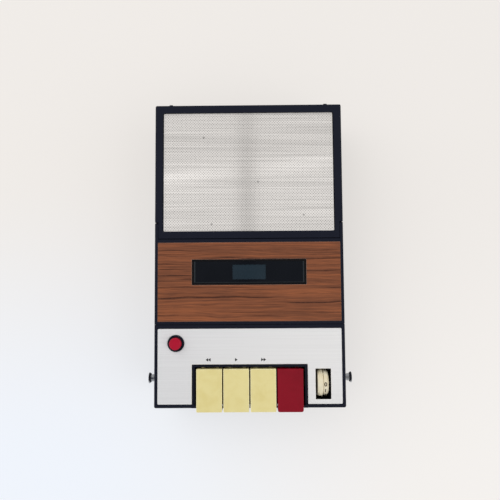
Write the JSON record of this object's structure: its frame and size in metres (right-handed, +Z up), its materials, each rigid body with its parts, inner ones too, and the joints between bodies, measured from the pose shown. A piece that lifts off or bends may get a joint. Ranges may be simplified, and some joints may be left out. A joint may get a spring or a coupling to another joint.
{
  "type": "cassette recorder",
  "caption": "Portable cassette recorder with a top speaker grille, hinged wood-grain cassette lid, piano keys, record button, volume wheel and strap studs, with its mechanism inside.",
  "frame": {"origin": "centre of the outer box's bottom, at the feet's underside", "axes": "+X to the volume wheel's side, +Y to the rear edge behind the grille, +Z up"},
  "size_m": [0.16, 0.2284, 0.0625],
  "materials": {
    "case_plastic": "fine moulded texture, blue-black",
    "deck_plastic": "satin black",
    "rubber": "black",
    "steel": "zinc plated",
    "chrome": "polished",
    "grille": "perforated, satin",
    "panel": "fine satin",
    "cloth": "fine black weave",
    "speaker_frame": "plated",
    "speaker_cone": "dark paper",
    "magnet": "plated",
    "wood_grain": "wood-grain foil, satin",
    "window_black": "glossy black",
    "clear_port": "smoked clear",
    "key_cream": "smooth cream",
    "key_red": "smooth dark red",
    "record_red": "smooth red",
    "wheel_ivory": "ivory",
    "spindle_white": "white nylon",
    "brass": "turned",
    "bronze_spring": "rolled strip",
    "board": "phenolic board",
    "components": "sleeved",
    "inner_plastic": "black",
    "head_black": "smooth"
  },
  "bodies": {
    "case": {"bottom_case": "case_plastic", "top_case": "case_plastic", "feet": "rubber", "case_screws": "steel", "strap_studs": "chrome", "speaker_grille": "grille", "grille_cloth": "cloth", "speaker_frame": "speaker_frame", "speaker_cone": "speaker_cone", "speaker_magnet": "magnet", "control_panel": "panel", "deck_cover": "deck_plastic", "mechanism_chassis": "steel", "inner_screws": "steel", "key_bracket": "steel", "key_shaft": "steel", "key_springs": "steel", "motor_can": "steel", "motor_bracket": "steel", "flywheel_bracket": "steel", "capstan_bearing": "brass", "drive_belt": "rubber", "take_up_belt": "rubber", "circuit_board": "board", "board_components": "components", "record_switch": "inner_plastic", "record_spring": "steel", "volume_pot": "steel", "jack_sockets": "inner_plastic", "power_socket": "inner_plastic", "battery_box": "inner_plastic", "battery_contacts": "bronze_spring", "lid_pins": "steel"},
    "lid": {"lid_frame": "case_plastic", "lid_veneer": "wood_grain", "lid_window": "window_black", "lid_port": "clear_port", "cassette_springs": "bronze_spring"},
    "rewind": {"rewind_key": "key_cream", "rewind_lever": "steel"},
    "play": {"play_key": "key_cream", "play_lever": "steel"},
    "forward": {"forward_key": "key_cream", "forward_lever": "steel"},
    "stop": {"stop_key": "key_red", "stop_lever": "steel"},
    "latch": {"latch_bar": "steel"},
    "record": {"record_button": "record_red"},
    "volume": {"volume_wheel": "wheel_ivory"},
    "flywheel": {"flywheel": "steel", "capstan_shaft": "steel"},
    "motor_rotor": {"motor_pulley": "brass"},
    "supply": {"supply_spindle": "spindle_white"},
    "take_up": {"take_up_spindle": "spindle_white"},
    "bridge": {"head_bridge": "steel", "play_head": "chrome", "erase_head": "head_black"},
    "pinch": {"pinch_arm": "steel"},
    "roller": {"pinch_roller": "rubber"},
    "battery_cover": {"battery_door": "case_plastic"}
  },
  "joints": [
    {"name": "lid_hinge", "type": "hinge", "parent": "case", "child": "lid", "pos_m": [0, 0.0218, 0.0555], "axis": [-1, 0, 0], "range_deg": [0, 70]},
    {"name": "rewind_press", "type": "hinge", "parent": "case", "child": "rewind", "pos_m": [-0.02955, -0.0751, 0.048], "axis": [1, 0, 0], "range_deg": [0, 12], "stiffness_Nm_per_rad": 0.12, "springref_deg": -8.59},
    {"name": "play_press", "type": "hinge", "parent": "case", "child": "play", "pos_m": [-0.00985, -0.0751, 0.048], "axis": [1, 0, 0], "range_deg": [0, 12], "stiffness_Nm_per_rad": 0.12, "springref_deg": -8.59},
    {"name": "forward_press", "type": "hinge", "parent": "case", "child": "forward", "pos_m": [0.00985, -0.0751, 0.048], "axis": [1, 0, 0], "range_deg": [0, 12], "stiffness_Nm_per_rad": 0.12, "springref_deg": -8.59},
    {"name": "stop_press", "type": "hinge", "parent": "case", "child": "stop", "pos_m": [0.02955, -0.0751, 0.048], "axis": [1, 0, 0], "range_deg": [0, 12], "stiffness_Nm_per_rad": 0.12, "springref_deg": -8.59},
    {"name": "latch_slide", "type": "slide", "parent": "case", "child": "latch", "axis": [1, 0, 0], "range_m": [0, 0.0021]},
    {"name": "record_press", "type": "slide", "parent": "case", "child": "record", "axis": [0, 0, -1], "range_m": [0, 0.0035], "stiffness_N_per_m": 80, "springref_m": -0.003, "deforming": ["record_spring"]},
    {"name": "volume_turn", "type": "hinge", "parent": "case", "child": "volume", "pos_m": [0.0535, -0.0946, 0.0501], "axis": [-1, 0, 0], "range_deg": [0, 270]},
    {"name": "flywheel_spin", "type": "hinge", "parent": "case", "child": "flywheel", "pos_m": [0.0245, -0.0411, 0.028], "axis": [0, 0, 1], "continuous": true},
    {"name": "motor_spin", "type": "hinge", "parent": "case", "child": "motor_rotor", "pos_m": [-0.03, 0.0188, 0.028], "axis": [0, 0, 1], "continuous": true},
    {"name": "supply_spin", "type": "hinge", "parent": "case", "child": "supply", "pos_m": [-0.02125, -0.0127, 0.037], "axis": [0, 0, 1], "continuous": true},
    {"name": "take_up_spin", "type": "hinge", "parent": "case", "child": "take_up", "pos_m": [0.02125, -0.0127, 0.037], "axis": [0, 0, 1], "continuous": true},
    {"name": "bridge_slide", "type": "slide", "parent": "case", "child": "bridge", "axis": [0, 1, 0], "range_m": [0, 0.0025]},
    {"name": "pinch_swing", "type": "hinge", "parent": "case", "child": "pinch", "pos_m": [0.044, -0.0497, 0.035], "axis": [0, 0, 1], "range_deg": [-15.1, 0]},
    {"name": "roller_spin", "type": "hinge", "parent": "pinch", "child": "roller", "pos_m": [0.0246, -0.0525, 0.046], "axis": [0, 0, 1], "continuous": true},
    {"name": "battery_door_slide", "type": "slide", "parent": "case", "child": "battery_cover", "axis": [0, 1, 0], "range_m": [0, 0.06]}
  ],
  "couplings": [
    {"joint": "latch_slide", "follows": "stop_press", "m_per_rad": 0.00954},
    {"joint": "bridge_slide", "follows": "play_press", "m_per_rad": 0.011455},
    {"joint": "pinch_swing", "follows": "play_press", "ratio": -1.24},
    {"joint": "motor_spin", "follows": "flywheel_spin", "ratio": 7.0625},
    {"joint": "take_up_spin", "follows": "flywheel_spin", "ratio": 0.2787}
  ]
}
